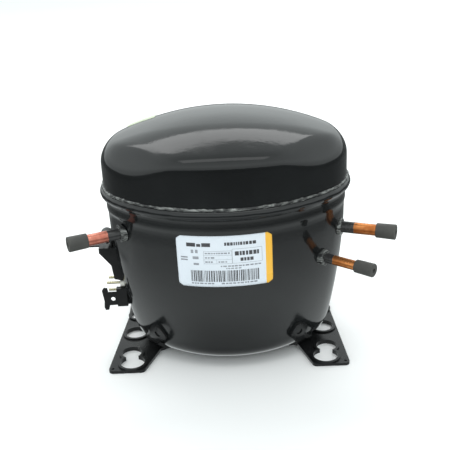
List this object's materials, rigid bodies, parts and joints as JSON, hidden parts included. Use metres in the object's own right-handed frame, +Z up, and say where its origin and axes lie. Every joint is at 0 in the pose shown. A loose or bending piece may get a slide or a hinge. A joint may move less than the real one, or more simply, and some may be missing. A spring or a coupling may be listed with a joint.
{
  "type": "hermetic reciprocating compressor",
  "caption": "Hermetic refrigerator compressor: black welded oval shell on foot plates, capped copper stubs, terminal pins, and a sprung crank-driven piston pump inside.",
  "frame": {"origin": "centre of the grommet hole pattern, on the underside of the foot plates", "axes": "+Z up, +X towards the end with two stub tubes, -X towards the electrical terminals, -Y the label side"},
  "size_m": [0.2681, 0.1658, 0.207],
  "materials": {
    "shell_paint": "gloss",
    "weld_paint": "rough gloss",
    "plate_paint": "satin",
    "copper": "satin, part overpainted",
    "cap_rubber": "matte",
    "label_film": "satin",
    "sticker_film": "satin",
    "terminal_steel": "satin",
    "bead_glass": "fused",
    "pin_metal": "satin",
    "plug_plastic": "moulded",
    "spring_steel": "drawn wire",
    "lead_insulation": "woven sleeve",
    "cast_block": "as cast and machined",
    "machined_steel": "ground",
    "gasket_fibre": "fibre",
    "reed_steel": "blued",
    "bolt_zinc": "zinc plated",
    "muffler_plastic": "moulded",
    "stator_laminations": "stacked sheets",
    "magnet_wire": "enamelled",
    "rotor_laminations": "turned",
    "rotor_aluminium": "die cast",
    "weight_steel": "stamped",
    "washer_steel": "ground",
    "cap_plastic": "moulded"
  },
  "bodies": {
    "housing": {"lower_housing": "shell_paint", "upper_housing": "shell_paint", "seam_weld": "weld_paint", "base_plate_left": "plate_paint", "base_plate_right": "plate_paint", "suction_tube": "copper", "process_tube": "copper", "discharge_tube": "copper", "suction_collar": "weld_paint", "process_collar": "weld_paint", "discharge_collar": "weld_paint", "rating_label": "label_film", "lid_sticker": "sticker_film", "terminal_cup": "terminal_steel", "terminal_glass": "bead_glass", "terminal_pins": "pin_metal", "lead_plug": "plug_plastic", "terminal_bracket": "plate_paint", "ground_tab": "plate_paint", "spring_seats": "terminal_steel", "suspension_springs": "spring_steel", "shock_tube": "machined_steel", "motor_leads": "lead_insulation"},
    "pump_body": {"cylinder_block": "cast_block", "cylinder_gasket": "gasket_fibre", "valve_plate": "machined_steel", "cover_gasket": "gasket_fibre", "cylinder_head": "cast_block", "discharge_stop": "machined_steel", "head_bolts": "bolt_zinc", "suction_muffler": "muffler_plastic", "muffler_cover": "muffler_plastic", "discharge_muffler": "terminal_steel", "stator_core": "stator_laminations", "stator_winding": "magnet_wire", "stator_bolts": "bolt_zinc", "spring_caps": "cap_plastic", "thrust_washer": "washer_steel"},
    "crank": {"crankshaft": "machined_steel", "counterweight": "weight_steel", "rotor_core": "rotor_laminations", "rotor_end_rings": "rotor_aluminium", "oil_pickup": "terminal_steel"},
    "shoe": {"slide_shoe": "machined_steel"},
    "plug": {"gallery_plug": "bolt_zinc"},
    "piston_and_yoke": {"piston": "machined_steel", "yoke_tube": "machined_steel"},
    "suction_valve": {"suction_reed": "reed_steel"},
    "discharge_valve": {"discharge_reed": "reed_steel"},
    "cap_on_suction": {"suction_cap": "cap_rubber"},
    "cap_on_process": {"process_cap": "cap_rubber"},
    "cap_on_discharge": {"discharge_cap": "cap_rubber"}
  },
  "joints": [
    {"name": "suspension_travel", "type": "slide", "parent": "housing", "child": "pump_body", "axis": [0, 0, 1], "range_m": [-0.004, 0.004], "stiffness_N_per_m": 18000, "springref_m": 0.0032, "deforming": ["suspension_springs", "shock_tube", "motor_leads"]},
    {"name": "crank_spin", "type": "hinge", "parent": "pump_body", "child": "crank", "pos_m": [-0.002, 0, 0.1], "axis": [0, 0, 1], "continuous": true},
    {"name": "shoe_turn", "type": "hinge", "parent": "crank", "child": "shoe", "pos_m": [-0.011, 0, 0.152], "axis": [0, 0, 1], "continuous": true},
    {"name": "plug_turn", "type": "hinge", "parent": "crank", "child": "plug", "pos_m": [-0.0065, 0, 0.1397], "axis": [0, 0, 1], "continuous": true},
    {"name": "piston_stroke", "type": "hinge", "parent": "plug", "child": "piston_and_yoke", "pos_m": [-0.011, 0, 0.152], "axis": [0, 0, 1], "continuous": true},
    {"name": "suction_reed_lift", "type": "hinge", "parent": "pump_body", "child": "suction_valve", "pos_m": [0.05373, 0, 0.163], "axis": [0, 1, 0], "range_deg": [0, 3], "stiffness_Nm_per_rad": 0.002},
    {"name": "discharge_reed_lift", "type": "hinge", "parent": "pump_body", "child": "discharge_valve", "pos_m": [0.05707, 0, 0.137], "axis": [0, 1, 0], "range_deg": [0, 6], "stiffness_Nm_per_rad": 0.002},
    {"name": "suction_cap_pull", "type": "slide", "parent": "housing", "child": "cap_on_suction", "axis": [-0.8988, -0.4384, 0], "range_m": [0, 0.04]},
    {"name": "process_cap_pull", "type": "slide", "parent": "housing", "child": "cap_on_process", "axis": [0.9272, -0.3746, 0], "range_m": [0, 0.04]},
    {"name": "discharge_cap_pull", "type": "slide", "parent": "housing", "child": "cap_on_discharge", "axis": [0.7771, -0.6293, 0], "range_m": [0, 0.04]}
  ],
  "couplings": [
    {"joint": "shoe_turn", "follows": "crank_spin", "ratio": -1},
    {"joint": "plug_turn", "follows": "crank_spin", "ratio": -2},
    {"joint": "piston_stroke", "follows": "crank_spin", "ratio": 1}
  ]
}
